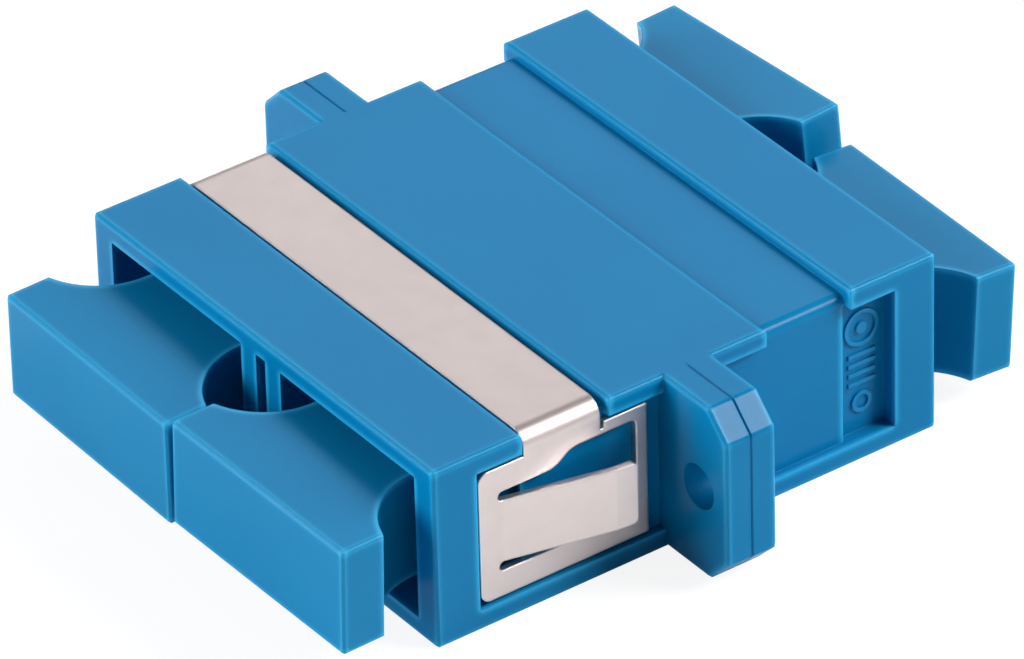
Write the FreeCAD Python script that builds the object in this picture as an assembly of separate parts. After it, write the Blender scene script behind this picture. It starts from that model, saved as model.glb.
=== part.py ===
# SC duplex fibre adapter, millimetres.
# +X runs across the two channels, +Y along the fibres towards the rear mouths, +Z up.
# The origin is the centre of the weld plane, on the line between the two flange holes.
import FreeCAD
import Part
import math
import os
from collections import namedtuple

V = FreeCAD.Vector
ORIGIN = V(0, 0, 0)
ALONG_X = V(1, 0, 0)
ALONG_Y = V(0, 1, 0)
ALONG_Z = V(0, 0, 1)
CUT = 1.0                   # how far a cutter reaches past the face that it breaks through

# --- what goes into a channel ---
PORT_PITCH = 12.7           # between the two channels
FERRULE_D = 2.5             # ferrule that an alignment sleeve takes
PLUG_W = 9.0                # SC plug, across
PLUG_H = 7.35               # SC plug, high
PLUG_PLAY = 0.05            # round the plug in its guide

# --- half housings ---
HALF_L = 13.7               # weld plane to mouth
OUTER_WALL = 1.4            # side wall at the mouth
ROOF_WALL = 0.925           # roof and floor over a port
RAIL_H = 0.6                # guide rails stand this far off the side wall
RAIL_TO_RAIL = 4.0          # between the upper and the lower rail
MOUTH_L = 1.3               # rails start this far inside the mouth
MOUTH_LEAD = 0.3            # lead-in on the centre wall
LEAD_RAMP = 0.6             # length of the lead-in slope
SPLIT_W = 0.7               # core-out slot in the centre wall
SPLIT_L = 7.0
KEYWAY_W = 2.3              # plug's key, in the floor of each port
KEYWAY_L = 6.5
COLLAR_L = 4.75             # full-height collar behind each mouth
SADDLE_L = 4.3              # raised middle, from the weld plane
SADDLE_DROP = 0.13          # saddle below the collar's top
POCKET_DEPTH = 0.45         # side pocket below the side face
POCKET_END = 11.4           # its end, from the weld plane
LIP_H = 1.02                # lips above and below the side pocket
DEEP_DEPTH = 0.8            # deeper end of the side pocket
DEEP_START = 8.83
EDGE_R = 0.2                # moulded edges along the housing
RIM_CHAMFER = 0.12          # broken edges round the mouths and the ears

# --- flange ---
FLANGE_T = 2.7              # both halves together
EAR_REACH = 4.5             # ear beyond the side face
EAR_CHAMFER = 1.32
EAR_CORNER_R = 0.3
HOLE_D = 2.2                # clearance hole for an M2 screw
HOLE_FROM_SIDE = 2.45       # hole centre from the side face
WELD_GROOVE = 0.07          # each half's share of the parting groove at the ear

# --- latch inserts ---
BASE_T = 1.3
BASE_MARGIN = 0.85          # base plate beyond the port, each side
BASE_RISE = 0.3             # base plate beyond the port, top and bottom
BASE_CORNER = 0.6
INSERT_PLAY = 0.05          # base plate in its pocket
SEAT_PLAY = 0.04            # sleeve floats in its barrel, radially
BARREL_WALL = 0.81
BARREL_L = 6.9              # from the weld plane
LIP_PLAY = 0.16             # barrel's end lip round the ferrule, radially
LIP_START = 0.1             # lip behind the end of the sleeve
BARREL_CHAMFER = 0.25
FERRULE_LEAD = 0.45         # cone at the barrel's mouth
HOOK_L = 9.0                # hook tip from the weld plane
HOOK_H = 3.6
HOOK_T = 0.6
HOOK_PLAY = 0.2             # arm inside the port's guide
HOOK_NIB_L = 1.6
HOOK_FLAT = 0.35
HOOK_FREE = 0.25            # between a nib and the cap's tube

# --- alignment sleeves ---
SLEEVE_WALL = 0.35
SLEEVE_L = 11.4
SLEEVE_SLIT = 0.5
SLEEVE_CHAMFER = 0.08

# --- mounting clip ---
SHEET_T = 0.35
BEND_R = 0.5                # inside the bends
BAND_W = 4.1
BAND_GAP = 0.15             # band behind the collar
PLATE_H = 6.8
PLATE_GAP = 0.15            # plate behind the pocket's end
PLATE_REAR = 0.85           # plate ahead of the flange
PLATE_CORNER_R = 0.5
FRAME_W = 0.6               # strip that closes the window beside the flange
WINDOW_CORNER_R = 0.3
TONGUE_W = 3.2
TONGUE_SLOT = 0.5           # slot beside the tongue
WINDOW_RISE = 0.7           # step in the window's upper edge
WINDOW_STEP_L = 1.8
TONGUE_MARGIN = 1.0         # slots start behind the plate's front edge
TONGUE_END = 2.3            # tongue's free end ahead of the flange
TONGUE_ANGLE = 13.0         # degrees
TONGUE_TIP_L = 1.1
TONGUE_TIP_ANGLE = 5.0
RELIEF_W = 0.2              # bend relief behind the band

# --- dust caps ---
GRIP_GAP = 0.38             # between two neighbouring grips
GRIP_H = 5.5
GRIP_T = 2.2                # straight part of the grip's sides
CAP_STAND = 5.1             # grip's face beyond the mouth
WAIST_W = 6.84
SCOOP_R = 3.8               # finger scoops
SHANK_END = 9.6             # waist's inner end, from the weld plane
CAP_PLAY = 0.1              # tube over the barrel, radially
TUBE_WALL = 0.41
TUBE_OVERLAP = 2.8          # tube over the barrel, along it
BORE_OVER_TIP = 2.1         # full bore beyond the barrel's tip
CORE_D = 3.4                # narrower core behind the full bore
CORE_L = 5.0
CAP_EDGE_R = 0.18
CAP_RIM_CHAMFER = 0.12

# How each cap happens to sit on its barrel: turn about the barrel in degrees, then how much of
# the free play it takes up sideways (+X) and upwards, and how far it is pushed past the others.
CapSeat = namedtuple("CapSeat", "turn swing lift push")
CAP_SEATS = {
    "front_left_dust_cap": CapSeat(1.7, 0.11, -0.24, 0.0),
    "front_right_dust_cap": CapSeat(1.6, 0.44, 0.11, 0.0),
    "rear_left_dust_cap": CapSeat(-3.3, -0.16, 0.62, 0.0),
    "rear_right_dust_cap": CapSeat(0.0, 0.32, -0.78, 0.4),
}

# --- sizes that follow from the ones above ---
CHANNEL_X = PORT_PITCH / 2
PORT_HALF_W = PLUG_W / 2 + PLUG_PLAY
PORT_HALF_H = PLUG_H / 2 + PLUG_PLAY
BODY_X = CHANNEL_X + PORT_HALF_W + RAIL_H + OUTER_WALL      # side face
BODY_Z = PORT_HALF_H + ROOF_WALL                            # collar's top
SADDLE_Z = BODY_Z - SADDLE_DROP
BAND_FLOOR_Z = SADDLE_Z - SHEET_T                           # the clip's band lies flush
POCKET_X = BODY_X - POCKET_DEPTH
POCKET_Z = BODY_Z - LIP_H
COLLAR_START = HALF_L - COLLAR_L
FLANGE_HALF_T = FLANGE_T / 2
EAR_X = BODY_X + EAR_REACH
HOLE_X = BODY_X + HOLE_FROM_SIDE
SLEEVE_OD = FERRULE_D + 2 * SLEEVE_WALL
SEAT_R = SLEEVE_OD / 2 + SEAT_PLAY
BARREL_R = SEAT_R + BARREL_WALL
CAP_BORE_R = BARREL_R + CAP_PLAY
TUBE_R = CAP_BORE_R + TUBE_WALL
NIB_X = TUBE_R + HOOK_FREE
ARM_X = PORT_HALF_W - HOOK_PLAY - HOOK_T
HOOK_NIB = ARM_X - NIB_X                                    # nib inside the arm
GRIP_W = PORT_PITCH - GRIP_GAP
CAP_FACE = HALF_L + CAP_STAND
TUBE_END = BARREL_L - TUBE_OVERLAP


# ---------------------------------------------------------------- shape helpers

def block(x, depth, z):
    """Block over the (low, high) pairs x and z, between two depths ahead of the weld plane."""
    return Part.makeBox(x[1] - x[0], depth[1] - depth[0], z[1] - z[0], V(x[0], -depth[1], z[0]))


def about(centre, half):
    """Pair that spans half on both sides of centre."""
    return (centre - half, centre + half)


def rod(radius, depth, x=0.0, z=0.0):
    """Cylinder along Y between two depths ahead of the weld plane."""
    return Part.makeCylinder(radius, depth[1] - depth[0], V(x, -depth[1], z), ALONG_Y)


def cone(radius_near, radius_far, depth):
    """Cone along Y; radius_near is at the first depth, radius_far at the second."""
    return Part.makeCone(radius_far, radius_near, depth[1] - depth[0], V(0, -depth[1], 0), ALONG_Y)


def plan_prism(outline, z):
    """Prism over a closed plan outline of (x, depth) points, between two heights."""
    points = [V(x, -depth, z[0]) for x, depth in outline]
    face = Part.Face(Part.makePolygon(points + points[:1]))
    return face.extrude(V(0, 0, z[1] - z[0]))


def edges_at(shape, x=None, depth=None, z=None):
    """Edges of shape that lie wholly at the given coordinates."""
    found = []
    for edge in shape.Edges:
        box = edge.BoundBox
        spans = ((x, box.XMin, box.XMax), (z, box.ZMin, box.ZMax))
        if depth is not None:
            spans += ((-depth, box.YMin, box.YMax),)
        if all(at is None or (abs(low - at) < 1e-5 and abs(high - at) < 1e-5)
               for at, low, high in spans):
            found.append(edge)
    return found


def mirrored(shape):
    """The same shape on the other side of the YZ plane."""
    return shape.mirror(ORIGIN, ALONG_X)


def fused(shapes):
    """One clean solid out of shapes that overlap or meet."""
    return shapes[0].multiFuse(shapes[1:]).removeSplitter()


def turned_to_rear(shape):
    """A front piece turned half a turn about Z, which makes it the rear one."""
    copy = shape.copy()
    copy.rotate(ORIGIN, ALONG_Z, 180)
    return copy


def at_channel(shape, side):
    """A piece modelled on the Y axis, moved to the channel on the given side (-1 or 1)."""
    return shape.translated(V(side * CHANNEL_X, 0, 0))


# ---------------------------------------------------------------- half housing

def collar():
    """Full section behind the mouths, with rounded sides and a broken rim."""
    shape = block((-BODY_X, BODY_X), (COLLAR_START, HALF_L), (-BODY_Z, BODY_Z))
    edges = edges_at(shape, depth=COLLAR_START, z=BODY_Z)
    for x in (-BODY_X, BODY_X):
        edges += edges_at(shape, x=x, z=BODY_Z) + edges_at(shape, x=x, z=-BODY_Z)
    shape = shape.makeFillet(EDGE_R, edges)
    return shape.makeChamfer(RIM_CHAMFER, edges_at(shape, depth=HALF_L))


def band_seat():
    """Narrower, lower section that the clip's band wraps round."""
    shape = block((-POCKET_X, POCKET_X), (0, COLLAR_START + CUT), (-BODY_Z, BAND_FLOOR_Z))
    edges = edges_at(shape, x=-POCKET_X, z=BAND_FLOOR_Z) + edges_at(shape, x=POCKET_X, z=BAND_FLOOR_Z)
    return shape.makeFillet(BEND_R, edges)


def saddle():
    """Raised middle beside the flange."""
    shape = block((-BODY_X, BODY_X), (0, SADDLE_L), (-BODY_Z, SADDLE_Z))
    edges = edges_at(shape, depth=SADDLE_L, z=SADDLE_Z)
    for x in (-BODY_X, BODY_X):
        edges += edges_at(shape, x=x, z=SADDLE_Z) + edges_at(shape, x=x, z=-BODY_Z)
    return shape.makeFillet(EDGE_R, edges)


def sill():
    """Full-width lip along the bottom, from the weld plane into the collar."""
    shape = block((-BODY_X, BODY_X), (0, COLLAR_START + CUT), (-BODY_Z, -POCKET_Z))
    edges = edges_at(shape, x=-BODY_X, z=-BODY_Z) + edges_at(shape, x=BODY_X, z=-BODY_Z)
    return shape.makeFillet(EDGE_R, edges)


def ear():
    """Right-hand half-thickness flange ear, chamfered top and bottom, with its screw hole."""
    root_x = BODY_X - OUTER_WALL / 2
    outline = [(root_x, -SADDLE_Z), (EAR_X - EAR_CHAMFER, -SADDLE_Z), (EAR_X, EAR_CHAMFER - SADDLE_Z),
               (EAR_X, SADDLE_Z - EAR_CHAMFER), (EAR_X - EAR_CHAMFER, SADDLE_Z), (root_x, SADDLE_Z)]
    points = [V(x, 0, z) for x, z in outline]
    face = Part.Face(Part.makePolygon(points + points[:1]))
    shape = face.extrude(V(0, -FLANGE_HALF_T, 0))
    corners = [edge for x, z in outline[1:5] for edge in edges_at(shape, x=x, z=z)]
    shape = shape.makeFillet(EAR_CORNER_R, corners)
    rim = [edge for edge in edges_at(shape, depth=0) if edge.BoundBox.XMax > root_x + 1e-3]
    shape = shape.makeChamfer(WELD_GROOVE, rim)
    rim = [edge for edge in edges_at(shape, depth=FLANGE_HALF_T) if edge.BoundBox.XMax > root_x + 1e-3]
    shape = shape.makeChamfer(RIM_CHAMFER, rim)
    return shape.cut(rod(HOLE_D / 2, (-CUT, FLANGE_HALF_T + CUT), HOLE_X))


def side_pocket():
    """Cutter for the right-hand side pocket and its deeper end."""
    span_z = (-POCKET_Z, POCKET_Z)
    shallow = block((POCKET_X, BODY_X + CUT), (FLANGE_HALF_T, POCKET_END), span_z)
    deep = block((BODY_X - DEEP_DEPTH, BODY_X + CUT), (DEEP_START, POCKET_END), span_z)
    return shallow.fuse(deep)


def port():
    """Cutter for the right-hand port: guide, rails, mouth with lead-in, and key slot."""
    inner = CHANNEL_X - PORT_HALF_W
    outer = CHANNEL_X + PORT_HALF_W
    span_z = (-PORT_HALF_H, PORT_HALF_H)
    past = HALF_L + CUT
    rails_end = HALF_L - MOUTH_L
    guide = block((inner, outer), (BASE_T - CUT / 2, past), span_z)
    between_rails = block((outer - CUT, outer + RAIL_H), (BASE_T - CUT / 2, past),
                          (-RAIL_TO_RAIL / 2, RAIL_TO_RAIL / 2))
    mouth = plan_prism([(inner, rails_end - LEAD_RAMP), (inner - MOUTH_LEAD, rails_end),
                        (inner - MOUTH_LEAD, past), (outer + RAIL_H, past),
                        (outer + RAIL_H, rails_end), (outer, rails_end - LEAD_RAMP)], span_z)
    keyway = block(about(CHANNEL_X, KEYWAY_W / 2), (HALF_L - KEYWAY_L, past), (-BODY_Z - CUT, 0))
    return fused([guide, between_rails, mouth, keyway])


def insert_pocket():
    """Cutter in the weld face for the right-hand insert's base plate."""
    half_w = PORT_HALF_W + BASE_MARGIN + INSERT_PLAY
    half_h = PORT_HALF_H + BASE_RISE + INSERT_PLAY
    return block(about(CHANNEL_X, half_w), (-CUT, BASE_T), (-half_h, half_h))


def centre_split():
    """Cutter for the core-out slot in the centre wall, open at the mouth."""
    return block(about(0, SPLIT_W / 2), (HALF_L - SPLIT_L, HALF_L + CUT), (-PORT_HALF_H, PORT_HALF_H))


def half_housing():
    """Front half housing; the rear one is the same moulding turned round."""
    shell = fused([collar(), band_seat(), saddle(), sill(), ear(), mirrored(ear())])
    right_cuts = [side_pocket(), port(), insert_pocket()]
    left_cuts = [mirrored(cutter) for cutter in right_cuts]
    return shell.cut(right_cuts + left_cuts + [centre_split()]).removeSplitter()


# ---------------------------------------------------------------- latch insert and sleeve

def hook():
    """Right-hand latch arm with its nib, on the channel's own axis."""
    nib_start = HOOK_L - HOOK_NIB_L
    outline = [(ARM_X, BASE_T - INSERT_PLAY), (ARM_X, nib_start), (NIB_X, nib_start + HOOK_NIB / 4),
               (NIB_X, nib_start + HOOK_NIB / 4 + HOOK_FLAT), (ARM_X, HOOK_L),
               (ARM_X + HOOK_T, HOOK_L), (ARM_X + HOOK_T, BASE_T - INSERT_PLAY)]
    return plan_prism(outline, (-HOOK_H / 2, HOOK_H / 2))


def base_plate():
    """Insert's base, with its four corners cut off."""
    half_w = PORT_HALF_W + BASE_MARGIN
    half_h = PORT_HALF_H + BASE_RISE
    shape = block((-half_w, half_w), (0, BASE_T), (-half_h, half_h))
    corners = [edge for x in (-half_w, half_w) for z in (-half_h, half_h)
               for edge in edges_at(shape, x=x, z=z)]
    return shape.makeChamfer(BASE_CORNER, corners)


def latch_insert():
    """One moulding: base plate, sleeve barrel and two hooks, facing the front."""
    barrel = rod(BARREL_R, (0, BARREL_L - BARREL_CHAMFER))
    tip = cone(BARREL_R, BARREL_R - BARREL_CHAMFER, (BARREL_L - BARREL_CHAMFER, BARREL_L))
    shape = fused([base_plate(), barrel, tip, hook(), mirrored(hook())])
    lip_r = FERRULE_D / 2 + LIP_PLAY
    seat = rod(SEAT_R, (-CUT, SLEEVE_L / 2 + LIP_START))
    lip = rod(lip_r, (0, BARREL_L + CUT))
    lead = cone(lip_r, lip_r + FERRULE_LEAD, (BARREL_L - FERRULE_LEAD, BARREL_L))
    return shape.cut([seat, lip, lead])


def alignment_sleeve():
    """Split zirconia sleeve, slit upwards, with broken ends."""
    depth = (-SLEEVE_L / 2, SLEEVE_L / 2)
    shape = rod(SLEEVE_OD / 2, depth)
    ends = [edge for y in depth for edge in edges_at(shape, depth=y)]
    shape = shape.makeChamfer(SLEEVE_CHAMFER, ends)
    shape = shape.cut(rod(FERRULE_D / 2, about(0, SLEEVE_L)))
    return shape.cut(block(about(0, SLEEVE_SLIT / 2), about(0, SLEEVE_L), (0, SLEEVE_OD)))


# ---------------------------------------------------------------- mounting clip

def clip_band():
    """Band over the top with its two bends, down to the side plates."""
    front = COLLAR_START - BAND_GAP
    depth = (front - BAND_W, front)
    low = PLATE_H / 2 - SHEET_T
    outer_x = POCKET_X + SHEET_T
    outside = block((-outer_x, outer_x), depth, (low, SADDLE_Z))
    edges = edges_at(outside, x=-outer_x, z=SADDLE_Z) + edges_at(outside, x=outer_x, z=SADDLE_Z)
    outside = outside.makeFillet(BEND_R + SHEET_T, edges)
    inside = block((-POCKET_X, POCKET_X), (depth[0] - CUT, depth[1] + CUT), (low - CUT, BAND_FLOOR_Z))
    edges = edges_at(inside, x=-POCKET_X, z=BAND_FLOOR_Z) + edges_at(inside, x=POCKET_X, z=BAND_FLOOR_Z)
    return outside.cut(inside.makeFillet(BEND_R, edges))


def clip_window(slot_start, rear):
    """Cutter for the window round the tongue, with the swept step in its upper edge."""
    low = -TONGUE_W / 2 - TONGUE_SLOT
    mid = TONGUE_W / 2 + TONGUE_SLOT
    high = mid + WINDOW_RISE
    step = COLLAR_START - BAND_GAP - BAND_W / 2 - WINDOW_STEP_L / 2
    x = POCKET_X - CUT

    def at(depth, z):
        return V(x, -depth, z)

    slot = slot_start - TONGUE_SLOT / 2
    sweep = Part.BezierCurve()
    sweep.setPoles([at(step + WINDOW_STEP_L, mid), at(step + WINDOW_STEP_L / 2, mid),
                    at(step + WINDOW_STEP_L / 2, high), at(step, high)])
    lines = [(at(step, high), at(rear, high)), (at(rear, high), at(rear, low)),
             (at(rear, low), at(slot, low)), (at(slot, low), at(slot, mid)),
             (at(slot, mid), at(step + WINDOW_STEP_L, mid))]
    edges = [sweep.toShape()] + [Part.makeLine(*line) for line in lines]
    window = Part.Face(Part.Wire(edges)).extrude(V(SHEET_T + 2 * CUT, 0, 0))
    rounded = [edge for z in (low, high) for edge in edges_at(window, depth=rear, z=z)]
    window = window.makeFillet(WINDOW_CORNER_R, rounded)
    for z in (low + TONGUE_SLOT / 2, mid - TONGUE_SLOT / 2):
        end = Part.makeCylinder(TONGUE_SLOT / 2, SHEET_T + 2 * CUT, at(slot, z), ALONG_X)
        window = window.fuse(end)
    return window


def clip_tongue(root):
    """Spring tongue, sprung out from the plate and straightened at its free end."""
    end = FLANGE_HALF_T + TONGUE_END
    bend = end + TONGUE_TIP_L
    slope = math.tan(math.radians(TONGUE_ANGLE))
    tip_slope = math.tan(math.radians(TONGUE_TIP_ANGLE))
    skin = POCKET_X + SHEET_T
    outer = [(skin, root), (skin + (root - bend) * slope, bend)]
    outer.append((outer[-1][0] + (bend - end) * tip_slope, end))
    inner = [(x - SHEET_T, depth) for x, depth in reversed(outer)]
    start = root + TONGUE_SLOT
    outline = [(skin, start)] + outer + inner + [(POCKET_X, start)]
    shape = plan_prism(outline, (-TONGUE_W / 2, TONGUE_W / 2))
    corners = [edge for z in (-TONGUE_W / 2, TONGUE_W / 2) for edge in edges_at(shape, depth=end, z=z)]
    return shape.makeFillet(WINDOW_CORNER_R, corners)


def clip_side():
    """Right-hand side plate with its window and tongue."""
    front = POCKET_END - PLATE_GAP
    rear = FLANGE_HALF_T + PLATE_REAR
    half_h = PLATE_H / 2
    plate = block((POCKET_X, POCKET_X + SHEET_T), (rear, front), (-half_h, half_h))
    corners = edges_at(plate, depth=front, z=-half_h) + edges_at(plate, depth=front, z=half_h)
    plate = plate.makeFillet(PLATE_CORNER_R, corners)
    slot_start = front - TONGUE_MARGIN
    plate = plate.cut(clip_window(slot_start, rear + FRAME_W))
    return plate.fuse(clip_tongue(slot_start - TONGUE_SLOT / 2))


def mounting_clip():
    """One folded sheet: band, bends, side plates and tongues, with its bend reliefs."""
    sheet = fused([clip_band(), clip_side(), mirrored(clip_side())])
    band_rear = COLLAR_START - BAND_GAP - BAND_W
    top = PLATE_H / 2
    relief = block((POCKET_X - CUT, POCKET_X + SHEET_T + CUT), (band_rear - RELIEF_W, band_rear),
                   (top - SHEET_T, top + CUT))
    return sheet.cut([relief, mirrored(relief)]).removeSplitter()


# ---------------------------------------------------------------- dust cap

def cap_body():
    """Grip plate that runs through two finger scoops into the shank."""
    waist = WAIST_W / 2
    grip = GRIP_W / 2
    centre_x = waist + SCOOP_R
    grip_inner = CAP_FACE - GRIP_T
    rise = math.sqrt(SCOOP_R ** 2 - (centre_x - grip) ** 2)
    low = grip_inner - rise
    half = math.radians(0.5 * math.degrees(math.asin(rise / SCOOP_R)))
    middle = (centre_x - SCOOP_R * math.cos(half), low + SCOOP_R * math.sin(half))

    def at(x, depth):
        return V(x, -depth, -GRIP_H / 2)

    right = [Part.makeLine(at(0, SHANK_END), at(waist, SHANK_END)),
             Part.makeLine(at(waist, SHANK_END), at(waist, low)),
             Part.Arc(at(waist, low), at(*middle), at(grip, grip_inner)).toShape(),
             Part.makeLine(at(grip, grip_inner), at(grip, CAP_FACE)),
             Part.makeLine(at(grip, CAP_FACE), at(0, CAP_FACE))]
    left = [mirrored(edge) for edge in right]
    outline = Part.Wire(Part.__sortEdges__(right + left))
    shape = Part.Face(outline).extrude(V(0, 0, GRIP_H))
    sides = [edge for x in (-grip, grip) for z in (-GRIP_H / 2, GRIP_H / 2)
             for edge in edges_at(shape, x=x, z=z)]
    shape = shape.makeFillet(CAP_EDGE_R, sides)
    return shape.makeChamfer(CAP_RIM_CHAMFER, edges_at(shape, depth=CAP_FACE))


def dust_cap():
    """Push-in cap facing the front, on the channel's own axis: grip, shank and tube."""
    tube = rod(TUBE_R, (TUBE_END, SHANK_END + CUT))
    shape = fused([cap_body(), tube])
    bore_end = BARREL_L + BORE_OVER_TIP
    bore = rod(CAP_BORE_R, (TUBE_END - CUT, bore_end))
    core = rod(CORE_D / 2, (bore_end - CUT, bore_end + CORE_L))
    return shape.cut([bore, core])


def seated_cap(side, end, seat):
    """Dust cap on the channel at side (-1 left, 1 right) and end (-1 front, 1 rear)."""
    overlap = TUBE_OVERLAP + seat.push
    play = math.degrees(math.atan(2 * CAP_PLAY / overlap))
    shape = dust_cap().translated(V(0, seat.push, 0))
    if end > 0:
        shape = turned_to_rear(shape)
    pivot = V(0, end * (BARREL_L - overlap / 2), 0)
    shape.rotate(ORIGIN, ALONG_Y, seat.turn)
    shape.rotate(pivot, ALONG_Z, -end * seat.swing * play)
    shape.rotate(pivot, ALONG_X, end * seat.lift * play)
    return at_channel(shape, side)


# ---------------------------------------------------------------- assembly

def build():
    """All the pieces in place, by name."""
    front = half_housing()
    insert = latch_insert()
    sleeve = alignment_sleeve()
    pieces = {
        "front_housing": front,
        "rear_housing": turned_to_rear(front),
        "mounting_clip": mounting_clip(),
        "left_alignment_sleeve": at_channel(sleeve, -1),
        "right_alignment_sleeve": at_channel(sleeve, 1),
    }
    for side, side_name in ((-1, "left"), (1, "right")):
        pieces[f"front_{side_name}_latch_insert"] = at_channel(insert, side)
        pieces[f"rear_{side_name}_latch_insert"] = at_channel(turned_to_rear(insert), side)
        for end, end_name in ((-1, "front"), (1, "rear")):
            name = f"{end_name}_{side_name}_dust_cap"
            pieces[name] = seated_cap(side, end, CAP_SEATS[name])
    return pieces


def main():
    """Write every piece to parts/."""
    os.makedirs("parts", exist_ok=True)
    for name, shape in build().items():
        solid = shape.Solids[0] if len(shape.Solids) == 1 else shape
        solid.exportStep(f"parts/{name}.step")
        box = solid.BoundBox
        print(f"{name:26s} valid {solid.isValid()} solids {len(shape.Solids)} volume {solid.Volume:8.2f} "
              f"x {box.XMin:.2f}..{box.XMax:.2f} y {box.YMin:.2f}..{box.YMax:.2f} "
              f"z {box.ZMin:.2f}..{box.ZMax:.2f}")


main()
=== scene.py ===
"""Looks of a duplex SC fibre adapter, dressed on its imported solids.

Blender works in metres here, in the part's own frame: +X across the two channels, +Y along the
fibres towards the rear mouths, +Z up. The origin is the centre of the weld plane.
"""

import logging
import math
from dataclasses import dataclass, replace
from enum import Enum

import bmesh
import bpy
from mathutils import Matrix, Vector


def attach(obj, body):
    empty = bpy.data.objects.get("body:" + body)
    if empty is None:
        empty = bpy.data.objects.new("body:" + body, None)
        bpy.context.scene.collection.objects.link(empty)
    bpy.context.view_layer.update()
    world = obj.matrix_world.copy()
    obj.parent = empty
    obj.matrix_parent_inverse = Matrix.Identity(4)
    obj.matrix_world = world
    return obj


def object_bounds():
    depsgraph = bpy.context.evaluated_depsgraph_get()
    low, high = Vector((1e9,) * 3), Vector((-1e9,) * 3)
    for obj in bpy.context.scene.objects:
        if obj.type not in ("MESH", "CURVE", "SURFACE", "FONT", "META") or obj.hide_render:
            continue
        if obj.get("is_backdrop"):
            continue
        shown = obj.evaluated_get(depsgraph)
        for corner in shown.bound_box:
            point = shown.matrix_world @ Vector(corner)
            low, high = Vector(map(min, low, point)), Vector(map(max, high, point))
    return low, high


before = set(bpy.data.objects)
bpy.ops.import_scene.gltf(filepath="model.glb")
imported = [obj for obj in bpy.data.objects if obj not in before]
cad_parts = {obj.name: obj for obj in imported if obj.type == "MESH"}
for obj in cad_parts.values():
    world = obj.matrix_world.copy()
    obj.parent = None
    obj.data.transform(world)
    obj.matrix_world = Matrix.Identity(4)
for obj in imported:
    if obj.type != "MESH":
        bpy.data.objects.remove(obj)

MM = 0.001
BEVEL_SAMPLES = 6               # rays that find how an edge is rounded
HIGHLIGHT_SAMPLES = 8                # and how near it is, for the painted edge highlight
LOG = logging.getLogger("fibre_adapter")

Colour = tuple[float, float, float, float]
Point = tuple[float, float, float]
Spot = tuple[float, float]      # on a pocket's floor: across and up, mm
Span = tuple[float, float]      # where something starts and where it ends

WHITE: Colour = (1.0, 1.0, 1.0, 1.0)

# A Mix node's sockets go by number, because those of its vectors and colours share their names.
SHARE, VECTOR_A, VECTOR_B, COLOUR_A, COLOUR_B = 0, 4, 5, 6, 7
MIXED_VECTOR, MIXED_COLOUR = 1, 2


# ---------------------------------------------------------------- tools

class Slot(Enum):
    """Material slots of the record."""

    HOUSING = "housing"
    CLIP = "clip"
    INSERT = "insert"
    SLEEVE = "sleeve"
    CAP = "cap"


class End(Enum):
    """The adapter's two ends, by the half housing that each belongs to."""

    FRONT = "front"
    REAR = "rear"


class Side(Enum):
    """The two channels, seen from the front."""

    LEFT = "left"
    RIGHT = "right"


def linear(hex_colour: str) -> Colour:
    """Turns an sRGB colour into the linear one that a shader takes.

    Args:
        hex_colour: six hex digits after a hash sign.

    Returns:
        Linear red, green and blue with an alpha of one.
    """
    toe, slope, offset, power = 0.04045, 12.92, 0.055, 2.4
    channels = [int(hex_colour[start:start + 2], 16) / 255 for start in (1, 3, 5)]
    values = [c / slope if c <= toe else ((c + offset) / (1 + offset)) ** power for c in channels]
    return values[0], values[1], values[2], 1.0


def add(tree: bpy.types.NodeTree, kind: str, settings: dict | None = None,
        links: dict | None = None) -> bpy.types.Node:
    """Adds one node to a tree, with its settings and its links.

    Args:
        tree: the node tree.
        kind: the node's type name.
        settings: values by input name or number, or by property name where no input has that name.
        links: output sockets, by the name or number of the input that each of them feeds.

    Returns:
        The new node.
    """
    node = tree.nodes.new(kind)
    for key, value in (settings or {}).items():
        if isinstance(key, int) or key in node.inputs:
            node.inputs[key].default_value = value
        else:
            setattr(node, key, value)
    for key, socket in (links or {}).items():
        tree.links.new(socket, node.inputs[key])
    return node


def empty_material(name: str) -> bpy.types.Material:
    """Makes a node material with no nodes in it.

    Args:
        name: what the material is called.

    Returns:
        The material.
    """
    material = bpy.data.materials.new(name)
    material.use_nodes = True
    material.node_tree.nodes.clear()
    return material


def dress(node_name: str, material: bpy.types.Material) -> None:
    """Puts a material on a solid of the frame.

    Args:
        node_name: the solid's node.
        material: its finish.
    """
    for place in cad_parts[node_name].material_slots:
        place.material = material
    LOG.info("%s is dressed in %s", node_name, material.name)


# ---------------------------------------------------------------- finishes

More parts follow.
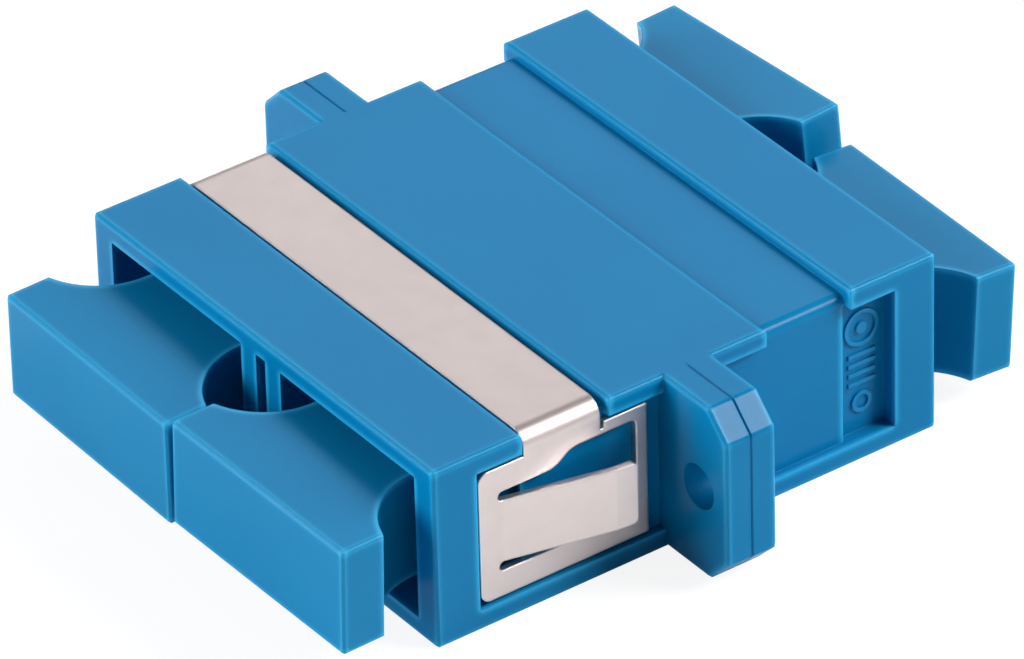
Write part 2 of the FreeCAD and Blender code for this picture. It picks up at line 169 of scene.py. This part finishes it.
@dataclass(frozen=True)
class MouldedPlastic:
    """Thermoplastic, injection moulded in a tool with a faint spark-eroded grain."""

    name: str
    colour: str
    flow_colour: str            # flow clouds: melt that cooled a shade apart
    highlight_colour: str            # painted highlight on the outer edges
    ior: float
    roughness: float
    edge_roughness: float
    grain_mm: float             # pits that the tool's texture leaves
    grain_depth_mm: float
    flow_mm: float = 7.0        # width of the flow clouds
    flow_span: Span = (0.35, 0.65)
    flow_detail: float = 3.0
    grain_detail: float = 2.0
    edge_mm: float = 0.1        # how far the softening of an edge reaches
    highlight_mm: float = 0.4        # and the painted highlight on an outer edge
    highlight_span: Span = (0.93, 0.58)  # openness from inside where the painted highlight starts and is full
    flush_mm: float = 0.0       # half the width of a weld that has been dressed flush
    pin_x_mm: float = 0.0       # axes of the pins that core the screw holes, at -X and +X
    pin_reach_mm: float = 0.0   # this far round such an axis an edge keeps the plain colour and roughness, with no painted highlight
    gloss: float = 0.5          # share of the mirror reflection that the grain leaves
    glow: float = 0.0           # share of the light that travels inside the plastic
    glow_mm: float = 0.4        # how far it gets
    glow_rgb: Point = (0.15, 0.7, 1.0)  # and how far each colour does, against that

    def make(self) -> bpy.types.Material:
        """Builds the material.

        Returns:
            The finished material.
        """
        material = empty_material(self.name)
        tree = material.node_tree
        where = add(tree, "ShaderNodeTexCoord").outputs["Object"]
        off_weld = self.off_weld(tree, where)
        edge = self.painted_highlight_share(tree, off_weld, self.off_pins(tree, where))
        soft = add(tree, "ShaderNodeBevel",
                   {"samples": BEVEL_SAMPLES, "Radius": self.edge_mm * MM})
        flat = add(tree, "ShaderNodeNewGeometry")
        rounded = add(tree, "ShaderNodeMix", {"data_type": "VECTOR"},
                      {SHARE: off_weld, VECTOR_A: flat.outputs["Normal"],
                       VECTOR_B: soft.outputs["Normal"]})
        grain = add(tree, "ShaderNodeTexNoise",
                    {"Scale": 1 / (self.grain_mm * MM), "Detail": self.grain_detail},
                    {"Vector": where})
        pits = add(tree, "ShaderNodeBump",
                   {"Strength": 1.0, "Distance": self.grain_depth_mm * MM},
                   {"Height": grain.outputs["Fac"], "Normal": rounded.outputs[MIXED_VECTOR]})
        # Painted highlight: the outer edges are lightened towards the highlight colour.
        highlit = add(tree, "ShaderNodeMix",
                   {"data_type": "RGBA", COLOUR_B: linear(self.highlight_colour)},
                   {SHARE: edge, COLOUR_A: self.clouded(tree, where)})
        polish = add(tree, "ShaderNodeMapRange",
                     {"To Min": self.roughness, "To Max": self.edge_roughness}, {"Value": edge})
        skin = add(tree, "ShaderNodeBsdfPrincipled",
                   {"IOR": self.ior, "Specular IOR Level": self.gloss,
                    "Subsurface Weight": self.glow, "Subsurface Radius": self.glow_rgb,
                    "Subsurface Scale": self.glow_mm * MM},
                   {"Base Color": highlit.outputs[MIXED_COLOUR], "Roughness": polish.outputs["Result"],
                    "Normal": pits.outputs["Normal"]})
        add(tree, "ShaderNodeOutputMaterial", {}, {"Surface": skin.outputs["BSDF"]})
        return material

    def clouded(self, tree: bpy.types.NodeTree,
                where: bpy.types.NodeSocket) -> bpy.types.NodeSocket:
        """Mixes the plastic's own colour with its flow clouds.

        Args:
            tree: the material's nodes.
            where: place on the adapter, metres.

        Returns:
            The colour.
        """
        clouds = add(tree, "ShaderNodeTexNoise",
                     {"Scale": 1 / (self.flow_mm * MM), "Detail": self.flow_detail},
                     {"Vector": where})
        flow = add(tree, "ShaderNodeMapRange",
                   {"From Min": self.flow_span[0], "From Max": self.flow_span[1]},
                   {"Value": clouds.outputs["Fac"]})
        body = add(tree, "ShaderNodeMix",
                   {"data_type": "RGBA", COLOUR_A: linear(self.colour),
                    COLOUR_B: linear(self.flow_colour)},
                   {SHARE: flow.outputs["Result"]})
        return body.outputs[MIXED_COLOUR]

    def off_weld(self, tree: bpy.types.NodeTree,
                 where: bpy.types.NodeSocket) -> bpy.types.NodeSocket:
        """Tells the flush weld at the middle plane from the rest.

        Args:
            tree: the material's nodes.
            where: place on the adapter, metres.

        Returns:
            One off the weld and nought on it.
        """
        split = add(tree, "ShaderNodeSeparateXYZ", {}, {"Vector": where})
        away = add(tree, "ShaderNodeMath", {"operation": "ABSOLUTE"}, {0: split.outputs["Y"]})
        off = add(tree, "ShaderNodeMath", {"operation": "GREATER_THAN", 1: self.flush_mm * MM},
                  {0: away.outputs[0]})
        return off.outputs[0]

    def off_pins(self, tree: bpy.types.NodeTree,
                 where: bpy.types.NodeSocket) -> bpy.types.NodeSocket:
        """Tells the rims of the cored screw holes from the rest.

        Args:
            tree: the material's nodes.
            where: place on the adapter, metres.

        Returns:
            One off the rims and nought on them.
        """
        outward = add(tree, "ShaderNodeVectorMath", {"operation": "ABSOLUTE"}, {0: where})
        from_pin = add(tree, "ShaderNodeVectorMath",
                       {"operation": "SUBTRACT", 1: (self.pin_x_mm * MM, 0.0, 0.0)},
                       {0: outward.outputs["Vector"]})
        across = add(tree, "ShaderNodeVectorMath",
                     {"operation": "MULTIPLY", 1: (1.0, 0.0, 1.0)},
                     {0: from_pin.outputs["Vector"]})
        reach = add(tree, "ShaderNodeVectorMath", {"operation": "LENGTH"},
                    {0: across.outputs["Vector"]})
        off = add(tree, "ShaderNodeMath",
                  {"operation": "GREATER_THAN", 1: self.pin_reach_mm * MM},
                  {0: reach.outputs["Value"]})
        return off.outputs[0]

    def painted_highlight_share(self, tree: bpy.types.NodeTree, off_weld: bpy.types.NodeSocket,
                 off_pins: bpy.types.NodeSocket) -> bpy.types.NodeSocket:
        """Finds the outer edges that get a painted highlight.

        Args:
            tree: the material's nodes.
            off_weld: nought on the flush weld.
            off_pins: nought on the rims of the cored holes.

        Returns:
            Share of painted highlight.
        """
        inner = add(tree, "ShaderNodeAmbientOcclusion",
                    {"samples": HIGHLIGHT_SAMPLES, "inside": True, "only_local": True,
                     "Distance": self.highlight_mm * MM})
        convex = add(tree, "ShaderNodeMapRange",
                     {"From Min": self.highlight_span[0], "From Max": self.highlight_span[1]},
                     {"Value": inner.outputs["AO"]})
        bare = add(tree, "ShaderNodeMath", {"operation": "MULTIPLY"}, {0: off_weld, 1: off_pins})
        edge = add(tree, "ShaderNodeMath", {"operation": "MULTIPLY"},
                   {0: convex.outputs["Result"], 1: bare.outputs[0]})
        return edge.outputs[0]


@dataclass(frozen=True)
class RolledSteel:
    """Stainless spring strip: cold rolled, slit, then blanked and folded."""

    name: str
    colour: str
    dull_colour: str            # patches that tumbling has dulled
    highlight_colour: str            # painted highlight on the blanked edges and bends
    roughness: float
    dull_roughness: float
    line_mm: float              # spacing of the rolling lines
    line_depth_mm: float
    stretch: float = 40.0       # a rolling line is this many times as long as it is wide
    patch_mm: float = 1.2       # width of the dulled patches
    patch_span: Span = (0.38, 0.66)
    detail: float = 4.0
    edge_mm: float = 0.14       # how far the rounding of an edge reaches
    edge_span: Span = (0.995, 0.85)  # cosine of its lean where the painted highlight starts and is full

    def make(self) -> bpy.types.Material:
        """Builds the material.

        Returns:
            The finished material.
        """
        material = empty_material(self.name)
        tree = material.node_tree
        where = add(tree, "ShaderNodeTexCoord").outputs["Object"]
        along = 1 / self.stretch
        rolled = add(tree, "ShaderNodeVectorMath",
                     {"operation": "MULTIPLY", 1: (along, 1.0, along)}, {0: where})
        lines = add(tree, "ShaderNodeTexNoise",
                    {"Scale": 1 / (self.line_mm * MM), "Detail": self.detail},
                    {"Vector": rolled.outputs["Vector"]})
        patches = add(tree, "ShaderNodeTexNoise",
                      {"Scale": 1 / (self.patch_mm * MM), "Detail": self.detail},
                      {"Vector": where})
        dull = add(tree, "ShaderNodeMapRange",
                   {"From Min": self.patch_span[0], "From Max": self.patch_span[1]},
                   {"Value": patches.outputs["Fac"]})
        soft = add(tree, "ShaderNodeBevel",
                   {"samples": BEVEL_SAMPLES, "Radius": self.edge_mm * MM})
        flat = add(tree, "ShaderNodeNewGeometry")
        facing = add(tree, "ShaderNodeVectorMath", {"operation": "DOT_PRODUCT"},
                     {0: soft.outputs["Normal"], 1: flat.outputs["Normal"]})
        edge = add(tree, "ShaderNodeMapRange",
                   {"From Min": self.edge_span[0], "From Max": self.edge_span[1]},
                   {"Value": facing.outputs["Value"]})
        face = add(tree, "ShaderNodeMix",
                   {"data_type": "RGBA", COLOUR_A: linear(self.colour),
                    COLOUR_B: linear(self.dull_colour)},
                   {SHARE: dull.outputs["Result"]})
        # Painted highlight: the edges are lightened towards the highlight colour.
        highlit = add(tree, "ShaderNodeMix",
                   {"data_type": "RGBA", COLOUR_B: linear(self.highlight_colour)},
                   {SHARE: edge.outputs["Result"], COLOUR_A: face.outputs[MIXED_COLOUR]})
        sheen = add(tree, "ShaderNodeMapRange",
                    {"To Min": self.roughness, "To Max": self.dull_roughness},
                    {"Value": dull.outputs["Result"]})
        scored = add(tree, "ShaderNodeBump",
                     {"Strength": 1.0, "Distance": self.line_depth_mm * MM},
                     {"Height": lines.outputs["Fac"], "Normal": soft.outputs["Normal"]})
        skin = add(tree, "ShaderNodeBsdfPrincipled", {"Metallic": 1.0},
                   {"Base Color": highlit.outputs[MIXED_COLOUR], "Roughness": sheen.outputs["Result"],
                    "Normal": scored.outputs["Normal"]})
        add(tree, "ShaderNodeOutputMaterial", {}, {"Surface": skin.outputs["BSDF"]})
        return material


@dataclass(frozen=True)
class GroundCeramic:
    """Zirconia, sintered and then ground round, so it shines with very fine rings."""

    name: str
    colour: str
    shade_colour: str
    ior: float
    roughness: float
    ring_mm: float              # lay of the grinding wheel along the sleeve
    ring_depth_mm: float
    round_share: float = 0.02   # how little a ring changes on its way round
    detail: float = 2.0

    def make(self) -> bpy.types.Material:
        """Builds the material.

        Returns:
            The finished material.
        """
        material = empty_material(self.name)
        tree = material.node_tree
        where = add(tree, "ShaderNodeTexCoord").outputs["Object"]
        along = add(tree, "ShaderNodeVectorMath",
                    {"operation": "MULTIPLY", 1: (self.round_share, 1.0, self.round_share)},
                    {0: where})
        rings = add(tree, "ShaderNodeTexNoise",
                    {"Scale": 1 / (self.ring_mm * MM), "Detail": self.detail},
                    {"Vector": along.outputs["Vector"]})
        body = add(tree, "ShaderNodeMix",
                   {"data_type": "RGBA", COLOUR_A: linear(self.colour),
                    COLOUR_B: linear(self.shade_colour)},
                   {SHARE: rings.outputs["Fac"]})
        ground = add(tree, "ShaderNodeBump", {"Strength": 1.0, "Distance": self.ring_depth_mm * MM},
                     {"Height": rings.outputs["Fac"]})
        skin = add(tree, "ShaderNodeBsdfPrincipled", {"IOR": self.ior, "Roughness": self.roughness},
                   {"Base Color": body.outputs[MIXED_COLOUR], "Normal": ground.outputs["Normal"]})
        add(tree, "ShaderNodeOutputMaterial", {}, {"Surface": skin.outputs["BSDF"]})
        return material


# Polybutylene terephthalate, the usual resin of these housings: opaque and evenly coloured, with
# a satin face that carries the tool's grain and only a weak, wide reflection. A spark-eroded tool
# pits it about every 0.05 mm, too fine to show, so the pits are drawn at 0.12 mm. The pins' axes
# and the reach round them are the screw holes' own, with 0.35 mm added to their radius.
# Its edge colour is a painted highlight, lighter than the resin, on the outer edges.
BLUE_PBT = MouldedPlastic(
    name="moulded_blue_pbt", colour="#027CB3", flow_colour="#0079B0", highlight_colour="#2BACE2",
    ior=1.57, gloss=0.12, roughness=0.27, edge_roughness=0.20, grain_mm=0.12, grain_depth_mm=0.0012,
    flush_mm=0.32, pin_x_mm=15.35, pin_reach_mm=1.45)

# The same resin on the raised marks, whose painted edge highlight is dimmer because they lie in a
# shaded pocket.
SHADED_MARKS_PBT = replace(BLUE_PBT, name="moulded_blue_pbt_marks", highlight_colour="#1588BF",
                        edge_roughness=0.26, edge_mm=0.03)

# Low-density polyethylene, soft enough to push on and off a barrel: a little waxy, slightly
# greener and greyer than the housing, and lit a short way from inside at its thin edges. Its pits
# are drawn at 0.15 mm.
# Its edge colour is a painted highlight, lighter than the resin, on the outer edges.
BLUE_LDPE = MouldedPlastic(
    name="moulded_blue_ldpe", colour="#0881B6", flow_colour="#067EB3", highlight_colour="#33B0E4",
    ior=1.51, gloss=0.14, roughness=0.27, edge_roughness=0.20, grain_mm=0.15, grain_depth_mm=0.001,
    glow=0.08)

# The same resin as the housings but undyed: ivory, a trace translucent, smoother from a polished
# tool, because its hooks slide over a plug. Its pits are drawn at 0.2 mm and shallower.
# Its edge colour is a painted highlight, lighter than the resin, on the outer edges.
NATURAL_PBT = MouldedPlastic(
    name="moulded_natural_pbt", colour="#E4E0D4", flow_colour="#DEDACC", highlight_colour="#EDEAE0",
    ior=1.57, roughness=0.35, edge_roughness=0.28, grain_mm=0.2, grain_depth_mm=0.0006, glow=0.15)

# Cold-rolled 301 stainless: nearly white metal with a warm cast, and fine rolling lines that
# spread its reflection into a soft satin band. The real lines are 0.01 mm apart, too fine to
# show, so they are drawn at 0.09 mm.
# Its edge colour is a painted highlight on the blanked edges and bends.
SPRING_STEEL = RolledSteel(
    name="rolled_spring_steel", colour="#E7DBD8", dull_colour="#E4D8D5", highlight_colour="#F1EAE6",
    roughness=0.42, dull_roughness=0.43, line_mm=0.09, line_depth_mm=0.0006)

# Sintered zirconia, ground round: dense, cool white and glossy. The real wheel marks are a
# micrometre apart and are drawn at 0.15 mm.
ZIRCONIA = GroundCeramic(
    name="ground_zirconia", colour="#F0EEE6", shade_colour="#E6E3DA", ior=2.1, roughness=0.12,
    ring_mm=0.15, ring_depth_mm=0.0004)


# ---------------------------------------------------------------- the adapter's sub-assemblies

@dataclass
class Housing:
    """The two welded half housings and the marks that their tool leaves on them."""

    half: str = "housing"
    marks: str = "tool_marks"
    body: str = "adapter"
    pocket_x: float = 12.1          # floor of the deep end of a side pocket, mm
    pocket_y: float = 10.1          # its middle, from the weld plane
    mark_height: float = 0.1        # marks stand this proud of the floor
    mark_root: float = 0.03         # and reach this far into it
    stroke: float = 0.2             # width of their lines
    dial_r: float = 0.85            # large ring
    dial_z: float = 1.85
    dot_share: float = 0.35         # dot in it, against its radius
    bar_w: float = 1.5              # tally bars
    bar_z: tuple[float, ...] = (0.45, -0.05, -0.55, -1.05)
    small_r: float = 0.45           # small ring
    small_z: float = -2.1
    ring_sides: int = 48

    def build(self) -> None:
        """Dresses both halves and raises the tool's marks in their deep pockets."""
        plastic = BLUE_PBT.make()
        for end in End:
            dress(f"{end.value}_{self.half}", plastic)
        # The marks' plastic carries a dimmer painted edge highlight, for their shaded pocket.
        marks_plastic = SHADED_MARKS_PBT.make()
        for end, turn in ((End.REAR, 0.0), (End.FRONT, math.pi)):
            self.tool_marks(f"{end.value}_{self.marks}", turn, marks_plastic)

    def tool_marks(self, name: str, turn: float,
                   plastic: bpy.types.Material) -> bpy.types.Object:
        """Raises a tool's rings, centre dot and tally bars on the floor of one deep pocket.

        Args:
            name: the piece's name.
            turn: angle about +Z, nought for the rear half and half a turn for the front one.
            plastic: the finish of the half that carries them.

        Returns:
            The piece, riding on the adapter.
        """
        mesh = bmesh.new()
        self.ring(mesh, (0.0, self.dial_z), self.dial_r)
        self.dot(mesh, (0.0, self.dial_z), self.dial_r * self.dot_share)
        for z in self.bar_z:
            self.bar(mesh, (0.0, z), (self.bar_w, self.stroke))
        self.ring(mesh, (0.0, self.small_z), self.small_r)
        data = bpy.data.meshes.new(name)
        bmesh.ops.recalc_face_normals(mesh, faces=mesh.faces)
        mesh.to_mesh(data)
        mesh.free()
        data.transform(Matrix.Rotation(turn, 4, "Z"))
        data.materials.append(plastic)
        piece = bpy.data.objects.new(name, data)
        bpy.context.scene.collection.objects.link(piece)
        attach(piece, self.body)
        LOG.info("%s raised", name)
        return piece

    def prism(self, mesh: bmesh.types.BMesh,
              outline: list[Spot]) -> list[list[bmesh.types.BMVert]]:
        """Raises a closed outline from the pocket's floor.

        Args:
            mesh: where it goes.
            outline: points on the floor, across and up, in mm from the pocket's middle.

        Returns:
            The floor's and the top's rings of vertices.
        """
        rings = []
        for depth in (-self.mark_root, self.mark_height):
            x, y = self.pocket_x + depth, self.pocket_y
            rings.append([mesh.verts.new(Vector((x, y + across, up)) * MM)
                          for across, up in outline])
        low, high = rings
        for index in range(len(outline)):
            following = (index + 1) % len(outline)
            mesh.faces.new((low[index], low[following], high[following], high[index]))
        return rings

    def bar(self, mesh: bmesh.types.BMesh, middle: Spot, size: Spot) -> None:
        """Raises one bar that lies across the pocket.

        Args:
            mesh: where it goes.
            middle: its middle on the floor, across and up, in mm.
            size: its length and width in mm.
        """
        corners = ((-1, -1), (1, -1), (1, 1), (-1, 1))
        outline = [(middle[0] + a * size[0] / 2, middle[1] + b * size[1] / 2)
                   for a, b in corners]
        for ring in self.prism(mesh, outline):
            mesh.faces.new(ring)

    def circle(self, middle: Spot, radius: float) -> list[Spot]:
        """Lists the points of a circle on the pocket's floor.

        Args:
            middle: its middle, across and up, in mm.
            radius: its radius in mm.

        Returns:
            The points, across and up, in mm.
        """
        turns = [2 * math.pi * side / self.ring_sides for side in range(self.ring_sides)]
        return [(middle[0] + radius * math.cos(a), middle[1] + radius * math.sin(a))
                for a in turns]

    def dot(self, mesh: bmesh.types.BMesh, middle: Spot, radius: float) -> None:
        """Raises one round dot.

        Args:
            mesh: where it goes.
            middle: its middle on the floor, across and up, in mm.
            radius: its radius in mm.
        """
        for ring in self.prism(mesh, self.circle(middle, radius)):
            mesh.faces.new(ring)

    def ring(self, mesh: bmesh.types.BMesh, middle: Spot, radius: float) -> None:
        """Raises one ring.

        Args:
            mesh: where it goes.
            middle: its middle on the floor, across and up, in mm.
            radius: the middle of its line, in mm.
        """
        walls = [self.prism(mesh, self.circle(middle, radius + side * self.stroke / 2))
                 for side in (-1, 1)]
        for inner, outer in zip(*walls):
            for index in range(self.ring_sides):
                following = (index + 1) % self.ring_sides
                mesh.faces.new((inner[index], inner[following], outer[following], outer[index]))


@dataclass
class MountingClip:
    """The folded steel clip: band over the roof, side plates and sprung tongues."""

    node: str = "mounting_clip"

    def build(self) -> None:
        """Dresses the clip in rolled steel."""
        dress(self.node, SPRING_STEEL.make())


@dataclass
class Insides:
    """Latch inserts and alignment sleeves, seen down a port when its cap is off."""

    insert: str = "latch_insert"
    sleeve: str = "alignment_sleeve"

    def build(self) -> None:
        """Dresses the four inserts and the two sleeves."""
        resin = NATURAL_PBT.make()
        ceramic = ZIRCONIA.make()
        for side in Side:
            dress(f"{side.value}_{self.sleeve}", ceramic)
            for end in End:
                dress(f"{end.value}_{side.value}_{self.insert}", resin)


@dataclass
class DustCaps:
    """The four push-in caps."""

    cap: str = "dust_cap"

    def build(self) -> None:
        """Dresses the caps."""
        plastic = BLUE_LDPE.make()
        for end in End:
            for side in Side:
                dress(f"{end.value}_{side.value}_{self.cap}", plastic)


# ---------------------------------------------------------------- studio

@dataclass(frozen=True)
class Softbox:
    """One square lamp that faces the adapter."""

    name: str
    place: Point                # metres
    size: float                 # metres
    watts: float

    def hang(self) -> bpy.types.Object:
        """Hangs the lamp and turns it to the adapter.

        Returns:
            The lamp.
        """
        lamp = bpy.data.lights.new(self.name, "AREA")
        lamp.shape = "SQUARE"
        lamp.size = self.size
        lamp.energy = self.watts
        holder = bpy.data.objects.new(self.name, lamp)
        holder.location = self.place
        holder.rotation_euler = (-Vector(self.place)).to_track_quat("-Z", "Y").to_euler()
        bpy.context.scene.collection.objects.link(holder)
        return holder


@dataclass
class Studio:
    """White sweep with an upturned rim, four softboxes and a dim sky."""

    floor_z: float                  # metres
    rim_r: float = 4.0              # where the sweep turns up, metres
    rim_h: float = 0.5              # and how high, metres
    sides: int = 96
    paper_tone: float = 0.88        # what the sweep sends back to the adapter
    glow_seen: float = 0.88         # share of its white that no shadow takes away, to the eye
    glow_mirrored: float = 0.11     # and in a shiny or clear face
    full_white: float = 1.10        # where the sweep has no shadow
    horizon: float = 0.02           # sky's strength at the horizon
    zenith: float = 0.14            # and overhead
    lamps: tuple[Softbox, ...] = (
        Softbox("left_softbox", (-0.35, -0.75, 0.30), 0.56, 7.4),
        Softbox("rear_softbox", (0.36, 0.68, 0.42), 0.40, 4.5),
        Softbox("right_softbox", (0.46, 0.475, 0.61), 0.25, 4.1),
        Softbox("low_back_softbox", (-0.60, 0.43, 0.50), 0.40, 0.72),
    )

    def build(self) -> None:
        """Lays the sweep, hangs the lamps and lights the sky."""
        self.sweep()
        self.sky()
        for lamp in self.lamps:
            lamp.hang()
        bpy.context.scene.view_settings.view_transform = "Standard"

    def sweep(self) -> None:
        """Lays the white floor just under the adapter and turns its far rim up."""
        mesh = bmesh.new()
        turns = [2 * math.pi * side / self.sides for side in range(self.sides)]
        low, high = [[mesh.verts.new((self.rim_r * math.cos(a), self.rim_r * math.sin(a), height))
                      for a in turns] for height in (0.0, self.rim_h)]
        mesh.faces.new(low)
        for side in range(self.sides):
            following = (side + 1) % self.sides
            mesh.faces.new((low[following], low[side], high[side], high[following]))
        data = bpy.data.meshes.new("white_sweep")
        mesh.to_mesh(data)
        mesh.free()
        data.materials.append(self.paper())
        floor = bpy.data.objects.new("white_sweep", data)
        floor.location = (0.0, 0.0, self.floor_z)
        bpy.context.scene.collection.objects.link(floor)
        floor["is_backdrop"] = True

    def paper(self) -> bpy.types.Material:
        """Makes the sweep's paper, which shows white and keeps the adapter's shadow.

        Returns:
            The material.
        """
        material = empty_material("matt_white_paper")
        tree = material.node_tree
        path = add(tree, "ShaderNodeLightPath").outputs
        mirrored = add(tree, "ShaderNodeMath", {"operation": "MAXIMUM"},
                       {0: path["Is Glossy Ray"], 1: path["Is Transmission Ray"]}).outputs[0]
        seen = add(tree, "ShaderNodeMath", {"operation": "MAXIMUM"},
                   {0: mirrored, 1: path["Is Camera Ray"]}).outputs[0]
        share = add(tree, "ShaderNodeMapRange",
                    {"To Min": self.glow_seen, "To Max": self.glow_mirrored},
                    {"Value": mirrored}).outputs["Result"]
        rest = add(tree, "ShaderNodeMapRange",
                   {"To Min": self.full_white - self.glow_seen, "To Max": self.paper_tone},
                   {"Value": mirrored}).outputs["Result"]
        lit = add(tree, "ShaderNodeBsdfDiffuse", {}, {"Color": rest})
        glow = add(tree, "ShaderNodeEmission", {}, {"Strength": share})
        white = add(tree, "ShaderNodeAddShader", {}, {0: lit.outputs[0], 1: glow.outputs[0]})
        matt = add(tree, "ShaderNodeBsdfDiffuse", {"Color": (self.paper_tone,) * 3 + (1.0,)})
        mixed = add(tree, "ShaderNodeMixShader", {},
                    {0: seen, 1: matt.outputs[0], 2: white.outputs[0]})
        add(tree, "ShaderNodeOutputMaterial", {}, {"Surface": mixed.outputs[0]})
        return material

    def sky(self) -> None:
        """Lights the adapter from all round, more from overhead than from the horizon."""
        world = bpy.data.worlds.new("dim_sky")
        bpy.context.scene.world = world
        world.use_nodes = True
        tree = world.node_tree
        tree.nodes.clear()
        direction = add(tree, "ShaderNodeTexCoord").outputs["Generated"]
        height = add(tree, "ShaderNodeSeparateXYZ", {}, {"Vector": direction}).outputs["Z"]
        strength = add(tree, "ShaderNodeMapRange", {"To Min": self.horizon, "To Max": self.zenith},
                       {"Value": height})
        light = add(tree, "ShaderNodeBackground", {"Color": WHITE},
                    {"Strength": strength.outputs["Result"]})
        add(tree, "ShaderNodeOutputWorld", {}, {"Surface": light.outputs[0]})


@dataclass(frozen=True)
class Viewpoint:
    """Long-lens camera above the front right corner."""

    azimuth: float = 54.5695        # degrees, from the front towards the right
    elevation: float = 34.2504
    roll: float = -1.5427
    distance: float = 449.539       # mm
    aside: float = 0.4659           # mm from the origin to the lens axis, level
    above: float = -0.1448          # and upright
    lens: float = 354.549           # mm
    sensor: float = 36.0            # its width, mm
    shift: tuple[float, float] = (-0.01299, -0.00666)
    seen: Span = (0.01, 20.0)       # nearest and farthest, metres

    def place(self) -> bpy.types.Object:
        """Sets the camera up.

        Returns:
            The scene's camera.
        """
        turn, lift = math.radians(self.azimuth), math.radians(self.elevation)
        roll = math.radians(self.roll)
        back = Vector((math.sin(turn) * math.cos(lift), -math.cos(turn) * math.cos(lift),
                       math.sin(lift)))
        level = Vector((math.cos(turn), math.sin(turn), 0.0))
        upright = back.cross(level)
        right = level * math.cos(roll) + upright * math.sin(roll)
        up = upright * math.cos(roll) - level * math.sin(roll)
        data = bpy.data.cameras.new("studio_camera")
        data.sensor_width = self.sensor
        data.lens = self.lens
        data.shift_x, data.shift_y = self.shift
        data.clip_start, data.clip_end = self.seen
        camera = bpy.data.objects.new("studio_camera", data)
        stand = (back * self.distance + right * self.aside + up * self.above) * MM
        facing = Matrix((right, up, back)).transposed().to_4x4()
        camera.matrix_world = Matrix.Translation(stand) @ facing
        bpy.context.scene.collection.objects.link(camera)
        bpy.context.scene.camera = camera
        return camera


def main() -> None:
    """Builds the looks in order, from the camera to the studio."""
    logging.basicConfig(level=logging.INFO, format="%(name)s: %(message)s")
    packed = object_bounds()
    Viewpoint().place()
    for assembly in (Housing(), MountingClip(), Insides(), DustCaps()):
        assembly.build()
    Studio(floor_z=packed[0].z).build()


if __name__ == "__main__":
    main()
